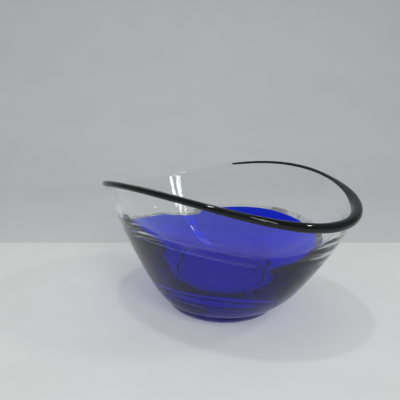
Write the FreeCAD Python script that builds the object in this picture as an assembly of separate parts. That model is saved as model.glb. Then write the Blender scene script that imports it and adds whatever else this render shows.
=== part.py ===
import FreeCAD, Part
import os
from math import cos, pi, radians, sin

# Hand-blown oval glass bowl. Millimetres, +Z up, X along the bowl's long axis,
# origin at the centre of the flat base, on the surface that the bowl stands on.
#
# Every face of the bowl is swept from loops. A loop is the closed curve
#     (x + a cos t,  y + b sin t),  height z + k cos 2(t - WAVE_TURN)
# kept as the six numbers (a, b, z, k, x, y): its two half axes, its mean height, how far
# it rises and dips with the wave of the lip, and where its centre is.

# Lip
LIP_A = 100.6              # half length of the mouth, at the wall's outer face
LIP_B = 77.6               # half width of the mouth, at the wall's outer face
LIP_HEIGHT = 95.7          # mean height of the lip, where its edge starts to round over
LIP_WAVE = 9.5             # rise and dip of the lip about that height
WAVE_TURN = radians(81)    # direction of the lip's high point from +X
LIP_WALL = 3.8             # wall thickness at the lip

# Foot: a low pad with a rounded edge
FOOT_A = 45.0
FOOT_B = 44.0
FOOT_HEIGHT = 9.0
FOOT_ROUND = 14.0          # how far the edge rounds in to the flat base

# Outer face: how far its two middle control loops lie from foot to lip
OUTER_REACH = (0.25, 0.93)
OUTER_RISE = (0.0, 0.80)

# Seam between the cobalt bowl and the clear collar
COLOUR_LINE = 61.0                         # mean height of the seam
COLLAR_WALL = (7.4, 3.7, 3.9, LIP_WALL)    # level wall at the collar's four control loops
SEAM_SHIFT = (-1.4, -1.0)                  # the cavity's centre at the seam, off the bowl's

# Inner face below the seam: a small flat floor that curves up into the wall
FLOOR_A = 25.0
FLOOR_B = 26.5
FLOOR_HEIGHT = 19.0
FLOOR_REACH = 0.45         # where the wall starts to curve up, between the floor and the seam
COBALT_TURN = 1.3          # how far the collar's slope runs on below the seam

# Black glass trail laid on the lip: (direction in degrees, radius), blunt end to thin tail
TRAIL_A = 100.6
TRAIL_B = 77.6
TRAIL_SHAPE = (
    (-160, 2.2), (-148, 2.5), (-125, 2.3), (-95, 2.05), (-70, 2.15), (-50, 2.6),
    (-30, 3.1), (-8, 3.45), (12, 3.7), (26, 3.1), (40, 1.75), (55, 1.1), (75, 0.75),
    (96, 0.5), (112, 0.4),
)
TRAIL_STEP = 4             # degrees between the trail's sections
TRAIL_NOSE = 3.0           # degrees over which the blunt end rounds off
TRAIL_POINTS = 12          # points round each section of the trail
TRAIL_STRETCHES = 8        # lengths that the trail's skin is made in

QUARTER = 0.5523           # control point distance of a quarter circle
COLUMNS = 36               # points round each loop
ARCS = 6                   # faces round each band
SEAM = radians(135)        # direction where the loops begin and end, on the bare lip


def mix(p, q, share):
    return tuple(u + (v - u) * share for u, v in zip(p, q))


def loop_point(loop, t):
    a, b, z, k, x, y = loop
    return FreeCAD.Vector(x + a * cos(t), y + b * sin(t), z + k * cos(2 * (t - WAVE_TURN)))


def level_loop(a, b, z):
    return (a, b, z, 0, 0, 0)


def loop_curve(loop):
    """Smooth closed curve through points of the loop; all loops share their knots."""
    turns = [SEAM + 2 * pi * i / COLUMNS for i in range(COLUMNS + 1)]
    curve = Part.BSplineCurve()
    curve.interpolate(
        Points=[loop_point(loop, t) for t in turns[:-1]],
        PeriodicFlag=True,
        Parameters=turns,
    )
    return curve


def band(loops):
    """Faces swept by a Bezier curve whose control points run round the given loops."""
    curves = [loop_curve(loop) for loop in loops]
    surface = Part.BSplineSurface()
    degree = len(loops) - 1
    surface.buildFromPolesMultsKnots(
        [curve.getPoles() for curve in curves],
        [degree + 1, degree + 1],
        curves[0].getMultiplicities(),
        [0.0, 1.0],
        curves[0].getKnots(),
        False,
        True,
        degree,
        curves[0].Degree,
    )
    faces = []
    for i in range(ARCS):
        patch = surface.copy()
        patch.segment(0, 1, SEAM + 2 * pi * i / ARCS, SEAM + 2 * pi * (i + 1) / ARCS)
        faces.append(patch.toShape())
    return faces


def disc(loop):
    """Flat face inside a level loop, with its edge in the same arcs as the bands'."""
    curve = loop_curve(loop)
    turns = [SEAM + 2 * pi * i / ARCS for i in range(ARCS + 1)]
    return Part.Face(Part.Wire([curve.toShape(a, b) for a, b in zip(turns, turns[1:])]))


def solid_of(faces):
    shell = Part.makeShell(faces)
    shell.sewShape()
    solid = Part.Solid(Part.Shell(shell.Faces))
    if solid.Volume < 0:
        solid.reverse()
    return solid


def split(loops, share):
    """The two parts of a Bezier profile cut at the given share of its parameter."""
    low, high, row = [loops[0]], [loops[-1]], list(loops)
    while len(row) > 1:
        row = [mix(p, q, share) for p, q in zip(row, row[1:])]
        low.append(row[0])
        high.append(row[-1])
    return low, high[::-1]


def share_at_height(loops, height):
    """Bezier parameter at which the profile's mean height is the given one."""
    low, high = 0.0, 1.0
    for _ in range(40):
        middle = (low + high) / 2
        if split(loops, middle)[0][-1][2] < height:
            low = middle
        else:
            high = middle
    return low


def outer_profile():
    """Profile of the outer face, from the foot pad up to the lip."""
    foot, lip = level_loop(FOOT_A, FOOT_B, FOOT_HEIGHT), lip_loop(0, 0)
    middle = []
    for reach, rise in zip(OUTER_REACH, OUTER_RISE):
        spread, level = mix(foot, lip, reach), mix(foot, lip, rise)
        middle.append(spread[:2] + level[2:])
    return [foot, *middle, lip]


def inner_profiles(outer_high):
    """Profiles of the inner face: from the floor up to the seam, and from there to the lip."""
    high = []
    for (a, b, z, k, x, y), wall in zip(outer_high, COLLAR_WALL):
        high.append((a - wall, b - wall, z, k, x, y))
    high[:2] = [loop[:4] + SEAM_SHIFT for loop in high[:2]]
    floor, seam = level_loop(FLOOR_A, FLOOR_B, FLOOR_HEIGHT), high[0]
    a, b, _, _, x, y = mix(floor, seam, FLOOR_REACH)
    turn = (a, b, FLOOR_HEIGHT, 0, x, y)
    return [floor, turn, mix(seam, high[1], -COBALT_TURN), seam], high


def lip_loop(inset, up):
    return (LIP_A - inset, LIP_B - inset, LIP_HEIGHT + up, LIP_WAVE, 0, 0)


def lip_round():
    """The two quarter rounds of the lip's edge, from the outer face to the inner one."""
    r = LIP_WALL / 2
    handle = r * QUARTER
    outer = [lip_loop(0, 0), lip_loop(0, handle), lip_loop(r - handle, r), lip_loop(r, r)]
    inner = [
        lip_loop(r, r), lip_loop(r + handle, r), lip_loop(LIP_WALL, handle), lip_loop(LIP_WALL, 0)
    ]
    return outer, inner


def foot_edge():
    """Rounded edge of the foot, from the flat base up to the pad's widest loop."""
    flat_a = FOOT_A - FOOT_ROUND
    flat_b = FOOT_B - FOOT_ROUND
    out = FOOT_ROUND * QUARTER
    return [
        level_loop(flat_a, flat_b, 0),
        level_loop(flat_a + out, flat_b + out, 0),
        level_loop(FOOT_A, FOOT_B, FOOT_HEIGHT * (1 - QUARTER)),
        level_loop(FOOT_A, FOOT_B, FOOT_HEIGHT),
    ]


OUTER = outer_profile()
OUTER_LOW, OUTER_HIGH = split(OUTER, share_at_height(OUTER, COLOUR_LINE))
INNER_LOW, INNER_HIGH = inner_profiles(OUTER_HIGH)


def clear_collar():
    """Clear upper wall, from the seam to the rounded lip."""
    outer_round, inner_round = lip_round()
    wall = band(OUTER_HIGH) + band(INNER_HIGH)
    lip = band(outer_round) + band(inner_round)
    return solid_of(wall + lip + band([INNER_HIGH[0], OUTER_HIGH[0]]))


def cobalt_bowl():
    """Cobalt lower bowl, coloured right through, with a level rim under the collar."""
    flats = [disc(INNER_LOW[0]), disc(OUTER_LOW[0])]
    rim = band([INNER_LOW[-1], OUTER_LOW[-1]])
    return solid_of(flats + band(INNER_LOW) + rim + band(OUTER_LOW))


def foot_pad():
    edge = foot_edge()
    return solid_of([disc(edge[0]), disc(edge[-1])] + band(edge))


def trail_radius(angle):
    """Radius of the trail at a direction in degrees; its blunt end rounds off."""
    for (start, r_start), (end, r_end) in zip(TRAIL_SHAPE, TRAIL_SHAPE[1:]):
        if angle <= end:
            radius = r_start + (r_end - r_start) * (angle - start) / (end - start)
            break
    nose = min(1.0, (angle - TRAIL_SHAPE[0][0]) / TRAIL_NOSE)
    return radius * (1 - 0.6 * (1 - nose) ** 2)


def trail_section(angle):
    """Round section of the trail, square to the lip's line."""
    loop = (TRAIL_A, TRAIL_B, LIP_HEIGHT, LIP_WAVE, 0, 0)
    t = radians(angle)
    centre = loop_point(loop, t)
    along = loop_point(loop, t + 0.01) - loop_point(loop, t - 0.01)
    level = along.cross(FreeCAD.Vector(0, 0, 1)).normalize()
    rise = level.cross(along).normalize()
    radius = trail_radius(angle)
    turns = [2 * pi * i / TRAIL_POINTS for i in range(TRAIL_POINTS + 1)]
    curve = Part.BSplineCurve()
    curve.interpolate(
        Points=[centre + level * (radius * cos(u)) + rise * (radius * sin(u)) for u in turns[:-1]],
        PeriodicFlag=True,
        Parameters=turns,
    )
    return curve


def trail():
    """Black trail: a skin run through its sections, with a flat face at each end."""
    first, last = TRAIL_SHAPE[0][0], TRAIL_SHAPE[-1][0]
    shoulder = first + TRAIL_NOSE
    steps = int((last - shoulder) // TRAIL_STEP)
    angles = [first, first + TRAIL_NOSE / 3]
    angles += [shoulder + (last - shoulder) * i / steps for i in range(steps + 1)]
    sections = [trail_section(angle) for angle in angles]
    lengthwise = []
    for row in zip(*[section.getPoles() for section in sections]):
        curve = Part.BSplineCurve()
        curve.interpolate(Points=list(row), Parameters=angles)
        lengthwise.append(curve)
    skin = Part.BSplineSurface()
    skin.buildFromPolesMultsKnots(
        [curve.getPoles() for curve in lengthwise],
        sections[0].getMultiplicities(),
        lengthwise[0].getMultiplicities(),
        sections[0].getKnots(),
        lengthwise[0].getKnots(),
        True,
        False,
        sections[0].Degree,
        lengthwise[0].Degree,
    )
    marks = [first + (last - first) * i / TRAIL_STRETCHES for i in range(TRAIL_STRETCHES + 1)]
    faces = []
    for start, end in zip(marks, marks[1:]):
        for side in range(2):
            patch = skin.copy()
            patch.segment(side * pi, (side + 1) * pi, start, end)
            faces.append(patch.toShape())
    for section in (sections[0], sections[-1]):
        rim = [section.toShape(0, pi), section.toShape(pi, 2 * pi)]
        faces.append(Part.Face(Part.Wire(rim)))
    return solid_of(faces)


def main():
    os.makedirs("parts", exist_ok=True)
    lip_wrap = trail()
    nodes = {
        "clear_collar": clear_collar().cut(lip_wrap).Solids[0],
        "cobalt_bowl": cobalt_bowl(),
        "foot_pad": foot_pad(),
        "lip_wrap": lip_wrap,
    }
    for name, shape in nodes.items():
        shape.exportStep(f"parts/{name}.step")
        print(name, shape.isValid(), len(shape.Solids), round(shape.Volume), shape.BoundBox)


main()
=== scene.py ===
from math import cos, pi, radians, sin

import bpy
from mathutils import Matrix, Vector, noise


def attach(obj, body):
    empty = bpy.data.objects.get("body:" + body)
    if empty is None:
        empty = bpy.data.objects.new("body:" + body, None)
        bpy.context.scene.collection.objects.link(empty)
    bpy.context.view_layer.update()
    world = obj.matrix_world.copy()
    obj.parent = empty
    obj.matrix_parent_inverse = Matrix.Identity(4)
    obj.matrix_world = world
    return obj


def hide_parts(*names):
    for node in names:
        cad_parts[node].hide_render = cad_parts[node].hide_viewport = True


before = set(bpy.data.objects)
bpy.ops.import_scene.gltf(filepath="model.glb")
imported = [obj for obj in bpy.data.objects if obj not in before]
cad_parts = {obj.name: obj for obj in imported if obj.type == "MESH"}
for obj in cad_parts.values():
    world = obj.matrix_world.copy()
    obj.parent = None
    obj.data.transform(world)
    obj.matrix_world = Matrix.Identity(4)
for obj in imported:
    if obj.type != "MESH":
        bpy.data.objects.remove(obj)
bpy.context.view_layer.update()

# Oval glass bowl: a cobalt lower bowl with its foot, a clear collar fused on top of it, and
# a black trail on the lip. The sizes in millimetres are the CAD's own; the meshes add the
# soft unevenness of hot-worked glass.
#
# A loop is (a, b, z, k, x, y): the closed curve x + a cos t, y + b sin t, at the height
# z + k cos 2(t - WAVE_TURN).

LIP_A, LIP_B = 100.6, 77.6               # half axes of the mouth, at the wall's outer face
LIP_HEIGHT, LIP_WAVE = 95.7, 9.5         # mean height of the lip, and its rise and dip
WAVE_TURN = radians(81)                  # direction of the lip's high point
LIP_WALL = 3.8                           # wall thickness at the lip

FOOT_A, FOOT_B, FOOT_HEIGHT = 45.0, 44.0, 9.0
FOOT_ROUND = 14.0                        # how far the foot's edge rounds in to the flat base

OUTER_REACH = (0.25, 0.93)               # how far the outer face's two middle control loops
OUTER_RISE = (0.0, 0.80)                 # lie out and up, from the foot to the lip

COLOUR_LINE = 61.0                       # mean height of the seam between cobalt and clear
COLLAR_WALL = (7.4, 3.7, 3.9, LIP_WALL)  # level wall at the collar's four control loops
SEAM_SHIFT = (-1.4, -1.0)                # the cavity's centre at the seam, off the bowl's

FLOOR_A, FLOOR_B, FLOOR_HEIGHT = 25.0, 26.5, 19.0
FLOOR_REACH = 0.45                       # where the wall curves up, from the floor to the seam
COBALT_TURN = 1.3                        # how far the collar's slope runs on below the seam

QUARTER = 0.5523                         # control point distance of a quarter circle
MM = 0.001                               # metres in a millimetre

# Black trail: (direction in degrees, radius), from the blunt end to the thin tail
TRAIL_SHAPE = (
    (-160, 2.2), (-148, 2.5), (-125, 2.3), (-95, 2.05), (-70, 2.15), (-50, 2.6),
    (-30, 3.1), (-8, 3.45), (12, 3.7), (26, 3.1), (40, 1.75), (55, 1.1), (75, 0.75),
    (96, 0.5), (112, 0.4),
)
TRAIL_BEFORE = (-200, 2.2)               # the radius curve runs on to these beyond its ends
TRAIL_AFTER = (132, 0.3)
NOSE_LENGTH, NOSE_START = 2.6, 0.06      # degrees over which the blunt end rounds off
TAIL_LENGTH, TAIL_START = 6.0, 0.2       # degrees over which the tail tapers
TAIL_TIP = 0.35                          # share of the radius that is left at the tail's tip
TRAIL_UNEVEN, TRAIL_SWAY = 0.05, 0.18    # share of the radius and millimetres that it wanders

# Unevenness of the walls
SLOW_SWELL, FINE_SWELL = (28.0, 0.36), (9.0, 0.04)    # (size, height) of its two ripples
SWELL_START, SWELL_EASE_IN = 11, 8       # height where it starts, and over how much it grows
SWELL_END, SWELL_EASE_OUT = 97, 14       # height where it ends, and over how much it fades
OUTSIDE_SEED, INSIDE_SEED, FINE_SEED = 0, 40, 9

# Fineness of the meshes
AROUND = 384                             # columns round the bowl
FOOT_ROWS, COBALT_ROWS, COLLAR_ROWS, LIP_ROWS = 22, 80, 48, 8
CRISP = 0.05                             # share of a row at which a seam's edge is held crisp
TRAIL_SIDES, TRAIL_STEP = 40, 0.75       # points round the trail, degrees between its rings
SEAM_GAP = 0.02                          # keeps the faces of the two glasses apart


# ---------------------------------------------------------------- shape helpers

def mix(p, q, share):
    return tuple(u + (v - u) * share for u, v in zip(p, q))


def split(loops, share):
    """The two parts of a Bezier profile cut at the given share of its parameter."""
    low, high, row = [loops[0]], [loops[-1]], list(loops)
    while len(row) > 1:
        row = [mix(p, q, share) for p, q in zip(row, row[1:])]
        low.append(row[0])
        high.append(row[-1])
    return low, high[::-1]


def share_at_height(loops, height):
    """Bezier parameter at which the profile's mean height is the given one."""
    low, high = 0.0, 1.0
    for _ in range(40):
        middle = (low + high) / 2
        if split(loops, middle)[0][-1][2] < height:
            low = middle
        else:
            high = middle
    return low


def along(loops, steps):
    """Loops at even steps of a Bezier profile, without its first one."""
    return [split(loops, (i + 1) / steps)[0][-1] for i in range(steps)]


def loop_point(loop, t):
    a, b, z, k, x, y = loop
    return Vector((x + a * cos(t), y + b * sin(t), z + k * cos(2 * (t - WAVE_TURN))))


def lip_loop(inset, up):
    return (LIP_A - inset, LIP_B - inset, LIP_HEIGHT + up, LIP_WAVE, 0, 0)


def level_loop(a, b, z):
    return (a, b, z, 0, 0, 0)


def clamp(value):
    return max(0.0, min(1.0, value))


def ripple(p, seed, size, height):
    """Slow unevenness of hot-worked glass."""
    return height * noise.noise(p / size + Vector((seed, 0, 0)))


def swell(p, seed):
    return ripple(p, seed, *SLOW_SWELL) + ripple(p, seed + FINE_SEED, *FINE_SWELL)


def swollen(p, inwards):
    """The point moved level by the unevenness of the outer face, the inner face or a mix."""
    ease = clamp((p.z - SWELL_START) / SWELL_EASE_IN) * clamp((SWELL_END - p.z) / SWELL_EASE_OUT)
    push = (swell(p, OUTSIDE_SEED) * (1 - inwards) + swell(p, INSIDE_SEED) * inwards) * ease
    away = Vector((p.x, p.y, 0))
    return p + away.normalized() * push if away.length > 1 else p


def mesh_object(name, verts, faces):
    """Smooth-shaded object in the scene, with its points in metres."""
    mesh = bpy.data.meshes.new(name)
    mesh.from_pydata(verts, [], faces)
    mesh.polygons.foreach_set("use_smooth", [True] * len(mesh.polygons))
    mesh.update()
    thing = bpy.data.objects.new(name, mesh)
    bpy.context.scene.collection.objects.link(thing)
    return thing


def ring_mesh(name, rows, poles=None):
    """Closed surface through rings; each row is (loop, share from the outer to the inner face)."""
    verts, faces = [], []
    for loop, inwards in rows:
        points = [loop_point(loop, 2 * pi * i / AROUND) for i in range(AROUND)]
        verts.extend(swollen(p, inwards) for p in points)
    count = len(rows)
    for row in range(count - 1 if poles else count):
        base, top = row * AROUND, ((row + 1) % count) * AROUND
        for i in range(AROUND):
            j = (i + 1) % AROUND
            faces.append((base + i, base + j, top + j, top + i))
    if poles:
        first, last, top = len(verts), len(verts) + 1, (count - 1) * AROUND
        verts += [Vector(pole) for pole in poles]
        for i in range(AROUND):
            j = (i + 1) % AROUND
            faces.append((first, j, i))
            faces.append((last, top + i, top + j))
    return mesh_object(name, [v * MM for v in verts], faces)


# ---------------------------------------------------------------- the two glasses

def outer_profile():
    """Profile of the outer face, from the foot up to the lip."""
    foot, lip = level_loop(FOOT_A, FOOT_B, FOOT_HEIGHT), lip_loop(0, 0)
    middle = []
    for reach, rise in zip(OUTER_REACH, OUTER_RISE):
        middle.append(mix(foot, lip, reach)[:2] + mix(foot, lip, rise)[2:])
    return [foot, *middle, lip]


OUTER = outer_profile()
OUTER_LOW, OUTER_HIGH = split(OUTER, share_at_height(OUTER, COLOUR_LINE))


def inner_profiles():
    """Profiles of the inner face: from the floor up to the seam, and from there to the lip."""
    high = [(a - w, b - w, z, k, x, y) for (a, b, z, k, x, y), w in zip(OUTER_HIGH, COLLAR_WALL)]
    high[:2] = [loop[:4] + SEAM_SHIFT for loop in high[:2]]
    floor, seam = level_loop(FLOOR_A, FLOOR_B, FLOOR_HEIGHT), high[0]
    a, b, _, _, x, y = mix(floor, seam, FLOOR_REACH)
    turn = (a, b, FLOOR_HEIGHT, 0, x, y)
    return [floor, turn, mix(seam, high[1], -COBALT_TURN), seam], high


INNER_LOW, INNER_HIGH = inner_profiles()


def foot_loops():
    """The flat base from near its middle, and the foot's rounded edge."""
    flat_a, flat_b, out = FOOT_A - FOOT_ROUND, FOOT_B - FOOT_ROUND, FOOT_ROUND * QUARTER
    edge = [
        level_loop(flat_a, flat_b, 0),
        level_loop(flat_a + out, flat_b + out, 0),
        level_loop(FOOT_A, FOOT_B, FOOT_HEIGHT * (1 - QUARTER)),
        level_loop(FOOT_A, FOOT_B, FOOT_HEIGHT),
    ]
    flat = [level_loop(flat_a * s, flat_b * s, 0) for s in (0.3, 0.6, 0.85, 0.97, 1.0)]
    return flat + along(edge, FOOT_ROWS)


def floor_loops():
    """The flat floor of the cavity, from its edge to near its middle."""
    return [level_loop(FLOOR_A * s, FLOOR_B * s, FLOOR_HEIGHT) for s in (0.9, 0.7, 0.45, 0.2)]


def ledge_loops(start, end):
    """Level seam face, with loops close by its two corners to keep them crisp."""
    return [mix(start, end, s) for s in (0.01, 0.25, 0.5, 0.75, 0.99)]


def lip_loops():
    """The lip's rounded edge, from the outer face to the inner one."""
    r = LIP_WALL / 2
    handle = r * QUARTER
    outer = [lip_loop(0, 0), lip_loop(0, handle), lip_loop(r - handle, r), lip_loop(r, r)]
    inner = [
        lip_loop(r, r), lip_loop(r + handle, r), lip_loop(LIP_WALL, handle), lip_loop(LIP_WALL, 0)
    ]
    return along(outer, LIP_ROWS) + along(inner, LIP_ROWS)


def rows_of(loops, start, end):
    """Loops with the share from the outer to the inner face going evenly from start to end."""
    steps = max(1, len(loops) - 1)
    return [(loop, start + (end - start) * i / steps) for i, loop in enumerate(loops)]


def cobalt_rows():
    """From the flat base out round the foot, up the outside, over the seam and down inside."""
    outer, inner = OUTER_LOW[-1], INNER_LOW[-1]
    outside = along(OUTER_LOW, COBALT_ROWS)
    inside = [inner] + along(INNER_LOW[::-1], COBALT_ROWS)
    outside.insert(-1, mix(outside[-2], outer, 1 - CRISP))
    inside.insert(1, mix(inner, inside[1], CRISP))
    return (
        rows_of(foot_loops() + outside, 0, 0)
        + rows_of(ledge_loops(outer, inner), 0.01, 0.99)
        + rows_of(inside + floor_loops(), 1, 1)
    )


def collar_rows():
    """From the seam up the outside, over the rounded lip, down inside and back over the seam."""
    outer, inner = OUTER_HIGH[0], INNER_HIGH[0]
    outside = [outer] + along(OUTER_HIGH, COLLAR_ROWS)
    inside = along(INNER_HIGH[::-1], COLLAR_ROWS)
    outside.insert(1, mix(outer, outside[1], CRISP))
    inside.insert(-1, mix(inside[-2], inner, 1 - CRISP))
    rows = (
        rows_of(outside, 0, 0)
        + rows_of(lip_loops(), 0, 1)
        + rows_of(inside, 1, 1)
        + rows_of(ledge_loops(inner, outer), 0.99, 0.01)
    )
    return [(loop[:2] + (loop[2] + SEAM_GAP,) + loop[3:], share) for loop, share in rows]


# ---------------------------------------------------------------- black trail

def trail_radius(angle):
    """Radius of the trail at a direction in degrees, on a smooth curve through TRAIL_SHAPE."""
    points = [TRAIL_BEFORE, *TRAIL_SHAPE, TRAIL_AFTER]
    for i in range(1, len(points) - 2):
        if angle <= points[i + 1][0]:
            break
    (a0, r0), (a1, r1), (a2, r2), (a3, r3) = points[i - 1:i + 3]
    u = (angle - a1) / (a2 - a1)
    slope_1 = (r2 - r0) / (a2 - a0) * (a2 - a1)
    slope_2 = (r3 - r1) / (a3 - a1) * (a2 - a1)
    return (
        r1 * (1 + 2 * u) * (1 - u) ** 2 + slope_1 * u * (1 - u) ** 2
        + r2 * u * u * (3 - 2 * u) + slope_2 * u * u * (u - 1)
    )


def trail_ring(angle):
    """Points round the trail at a direction in degrees, square to the lip's line."""
    first, last = TRAIL_SHAPE[0][0], TRAIL_SHAPE[-1][0]
    loop, t, nudge = lip_loop(0, 0), radians(angle), 0.01
    centre = loop_point(loop, t)
    heading = (loop_point(loop, t + nudge) - loop_point(loop, t - nudge)).normalized()
    level = heading.cross(Vector((0, 0, 1))).normalized()
    rise = level.cross(heading).normalized()
    nose = min(1.0, (angle - first + NOSE_START) / NOSE_LENGTH)
    tail = min(1.0, (last - angle + TAIL_START) / TAIL_LENGTH)
    radius = trail_radius(angle) * (1 - (1 - nose) ** 2) ** 0.5
    radius *= TAIL_TIP + (1 - TAIL_TIP) * tail
    radius *= 1 + TRAIL_UNEVEN * noise.noise(Vector((angle / 9, 3, 0)))
    sway = TRAIL_SWAY * noise.noise(Vector((angle / 14, 0, 7)))
    turns = [2 * pi * j / TRAIL_SIDES for j in range(TRAIL_SIDES)]
    return [centre + level * (radius * cos(u) + sway) + rise * (radius * sin(u)) for u in turns]


def trail_mesh():
    first, last = TRAIL_SHAPE[0][0], TRAIL_SHAPE[-1][0]
    count = int((last - first) / TRAIL_STEP)
    verts, faces = [], []
    for i in range(count + 1):
        ring = trail_ring(first + (last - first) * i / count)
        verts.extend(p * MM for p in ring)
    for i in range(count):
        a, b = i * TRAIL_SIDES, (i + 1) * TRAIL_SIDES
        for j in range(TRAIL_SIDES):
            k = (j + 1) % TRAIL_SIDES
            faces.append((a + j, a + k, b + k, b + j))
    faces.append(tuple(range(TRAIL_SIDES))[::-1])
    faces.append(tuple(count * TRAIL_SIDES + j for j in range(TRAIL_SIDES)))
    return mesh_object("black_trail", verts, faces)


# ---------------------------------------------------------------- materials

def new_material(name):
    material = bpy.data.materials.new(name)
    material.use_nodes = True
    tree = material.node_tree
    tree.nodes.clear()
    output = tree.nodes.new("ShaderNodeOutputMaterial")
    shader = tree.nodes.new("ShaderNodeBsdfPrincipled")
    tree.links.new(shader.outputs[0], output.inputs["Surface"])
    return material, tree, shader, output


def grain(tree, scale, detail, rough=0.5):
    """Noise in the piece's own coordinates."""
    coords = tree.nodes.new("ShaderNodeTexCoord")
    node = tree.nodes.new("ShaderNodeTexNoise")
    node.inputs["Scale"].default_value = scale
    node.inputs["Detail"].default_value = detail
    node.inputs["Roughness"].default_value = rough
    tree.links.new(coords.outputs["Object"], node.inputs["Vector"])
    return node.outputs["Fac"]


def tinted(tree, shader, source, low, high, span):
    """Base colour that goes from low to high as the noise goes over the given span."""
    ramp = tree.nodes.new("ShaderNodeValToRGB")
    for stop, position, colour in zip(ramp.color_ramp.elements, span, (low, high)):
        stop.position = position
        stop.color = (*colour, 1)
    tree.links.new(source, ramp.inputs["Fac"])
    tree.links.new(ramp.outputs["Color"], shader.inputs["Base Color"])


def roughened(tree, shader, source, low, high):
    """Roughness from low to high, over the values that most of the noise has."""
    node = tree.nodes.new("ShaderNodeMapRange")
    node.inputs["From Min"].default_value = 0.35
    node.inputs["From Max"].default_value = 0.65
    node.inputs["To Min"].default_value = low
    node.inputs["To Max"].default_value = high
    tree.links.new(source, node.inputs["Value"])
    tree.links.new(node.outputs["Result"], shader.inputs["Roughness"])


def bumped(tree, shader, source, strength):
    bump = tree.nodes.new("ShaderNodeBump")
    bump.inputs["Strength"].default_value = strength
    bump.inputs["Distance"].default_value = 0.0006
    tree.links.new(source, bump.inputs["Height"])
    tree.links.new(bump.outputs["Normal"], shader.inputs["Normal"])


GLASS_IOR = 1.52


def glass(name, tint, through, density):
    """Transparent glass; its body absorbs all but the colour that comes through."""
    material, tree, shader, output = new_material(name)
    shader.inputs["Base Color"].default_value = (*tint, 1)
    shader.inputs["Transmission Weight"].default_value = 1.0
    shader.inputs["IOR"].default_value = GLASS_IOR
    roughened(tree, shader, grain(tree, 90, 3), 0.0, 0.012)
    bumped(tree, shader, grain(tree, 55, 3, 0.45), 0.12)
    volume = tree.nodes.new("ShaderNodeVolumeAbsorption")
    volume.inputs["Color"].default_value = (*through, 1)
    volume.inputs["Density"].default_value = density
    tree.links.new(volume.outputs[0], output.inputs["Volume"])
    return material


def clear_glass():
    return glass("clear_glass", (1, 1, 1), (0.50, 0.72, 0.68), 4)


def cobalt_glass():
    return glass("cobalt_glass", (0.80, 0.86, 1.0), (0.03, 0.48, 0.984), 760)


def black_glass():
    material, tree, shader, _ = new_material("black_glass")
    tinted(
        tree, shader, grain(tree, 35, 4), (0.0022, 0.0026, 0.0028), (0.006, 0.0085, 0.008),
        (0.35, 0.7),
    )
    shader.inputs["IOR"].default_value = GLASS_IOR
    shader.inputs["Specular IOR Level"].default_value = 0.35
    roughened(tree, shader, grain(tree, 140, 4), 0.02, 0.07)
    bumped(tree, shader, grain(tree, 70, 4), 0.18)
    return material


def matte(name, low, high, scale):
    material, tree, shader, _ = new_material(name)
    tinted(tree, shader, grain(tree, scale, 5), low, high, (0.3, 0.7))
    shader.inputs["Roughness"].default_value = 0.85
    return material


# ---------------------------------------------------------------- the pieces

def face_outwards(thing):
    """Turns every face outwards if the closed mesh is inside out."""
    volume = 0.0
    mesh = thing.data
    mesh.calc_loop_triangles()
    for tri in mesh.loop_triangles:
        a, b, c = (mesh.vertices[i].co for i in tri.vertices)
        volume += a.dot(b.cross(c))
    if volume < 0:
        mesh.flip_normals()


cobalt = ring_mesh("cobalt_glass_bowl", cobalt_rows(), ((0, 0, 0), (0, 0, FLOOR_HEIGHT)))
collar = ring_mesh("clear_glass_collar", collar_rows())
trail = trail_mesh()

for thing, nodes, slot, material in (
    (collar, ("clear_collar",), "clear_glass", clear_glass()),
    (cobalt, ("cobalt_bowl", "foot_pad"), "cobalt_glass", cobalt_glass()),
    (trail, ("lip_wrap",), "black_glass", black_glass()),
):
    face_outwards(thing)
    thing.data.materials.append(material)
    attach(thing, "root")
    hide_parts(*nodes)


# ---------------------------------------------------------------- studio, in metres

VIEW_TURN = radians(127)                 # level direction that the camera looks along
HEADING = Vector((cos(VIEW_TURN), sin(VIEW_TURN), 0))
ACROSS = Vector((sin(VIEW_TURN), -cos(VIEW_TURN), 0))
CAMERA_AT, CAMERA_TILT, CAMERA_LENS = (0.1899, -0.2811, 0.168), radians(13.7), 40.5

TABLE = -0.0003                          # the table's top, a hair under the resting face
TABLE_FRONT, TABLE_EDGE = -3.0, 0.147    # from the bowl's centre to the table's two edges
SHEET_SIDE = 2                           # half width of the table and of the cove
COVE_START, COVE_RADIUS = 0.40, 0.45     # where the grey cove behind the table curves up
COVE_TOP, COVE_STEPS = 1.3, 24

LIGHTS_AIM = Vector((0, 0, 0.05))
BOUNCES = 64                             # enough for light caught inside the thick glass


def place(forward, right, height):
    """A point as the camera sees the bowl: behind it, to its right and above the table."""
    return HEADING * forward + ACROSS * right + Vector((0, 0, height))


def swept_sheet(name, profile, material):
    """Sheet with a straight width to both sides; the profile is (forward, height) points."""
    sides = (-SHEET_SIDE, SHEET_SIDE)
    verts = [place(forward, side, height) for forward, height in profile for side in sides]
    faces = [(i, i + 1, i + 3, i + 2) for i in range(0, len(verts) - 2, 2)]
    thing = mesh_object(name, verts, faces)
    thing.data.materials.append(material)


def cove_profile():
    """Level from the table's edge, then a quarter round up, then straight up."""
    points = [(TABLE_EDGE, TABLE)]
    for i in range(COVE_STEPS + 1):
        turn = i * pi / 2 / COVE_STEPS
        forward = COVE_START + COVE_RADIUS * sin(turn)
        points.append((forward, TABLE + COVE_RADIUS * (1 - cos(turn))))
    return points + [(COVE_START + COVE_RADIUS, COVE_TOP)]


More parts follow.
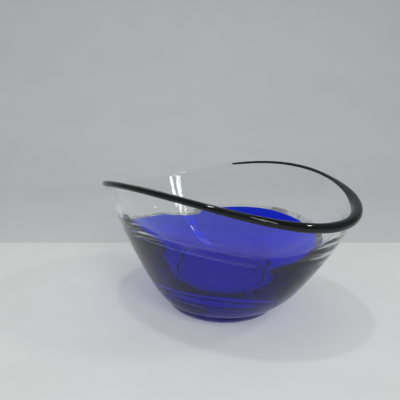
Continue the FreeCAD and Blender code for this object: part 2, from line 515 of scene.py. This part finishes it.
swept_sheet(
    "floor", [(TABLE_FRONT, TABLE), (TABLE_EDGE, TABLE)],
    matte("floor_paint", (0.60, 0.605, 0.60), (0.63, 0.635, 0.63), 14),
)
swept_sheet(
    "backdrop", cove_profile(),
    matte("backdrop_paint", (0.475, 0.495, 0.505), (0.495, 0.515, 0.525), 9),
)


def softbox(name, at, width, length, power):
    light = bpy.data.lights.new(name, "AREA")
    light.shape = "RECTANGLE"
    light.size = width
    light.size_y = length
    light.energy = power
    thing = bpy.data.objects.new(name, light)
    thing.location = at
    thing.rotation_euler = (LIGHTS_AIM - at).to_track_quat("-Z", "Y").to_euler()
    bpy.context.scene.collection.objects.link(thing)
    return thing


softbox("overhead", place(-0.25, 0.1, 1.4), 0.35, 0.35, 0.4)
softbox("window_left", place(-1.1, 0.25, 0.9), 0.06, 0.9, 3)
softbox("window_right", place(-1.1, 0.45, 0.9), 0.06, 0.9, 3)
softbox("lamp_left", place(-0.15, -0.15, 1.2), 0.06, 0.06, 1.6)
softbox("lamp_right", place(-0.2, 1.1, 1.2), 0.16, 0.05, 2.4)

# Even light without a shadow or a reflection of its own
fill = softbox("fill", place(-0.5, -0.4, 1.6), 1.6, 1.6, 17.5)
fill.data.use_shadow = False
fill.visible_glossy = False
fill.visible_transmission = False

scene = bpy.context.scene
scene.world = bpy.data.worlds.new("studio")
scene.world.use_nodes = True
background = scene.world.node_tree.nodes["Background"]
background.inputs["Color"].default_value = (0.95, 0.98, 1.0, 1)
background.inputs["Strength"].default_value = 0.19

camera = bpy.data.objects.new("camera", bpy.data.cameras.new("camera"))
camera.data.lens = CAMERA_LENS
camera.data.sensor_width = 36
camera.location = CAMERA_AT
gaze = HEADING * cos(CAMERA_TILT) - Vector((0, 0, sin(CAMERA_TILT)))
camera.rotation_euler = gaze.to_track_quat("-Z", "Y").to_euler()
scene.collection.objects.link(camera)
scene.camera = camera

scene.view_settings.view_transform = "Standard"
scene.cycles.max_bounces = BOUNCES
scene.cycles.transmission_bounces = BOUNCES
scene.cycles.glossy_bounces = BOUNCES
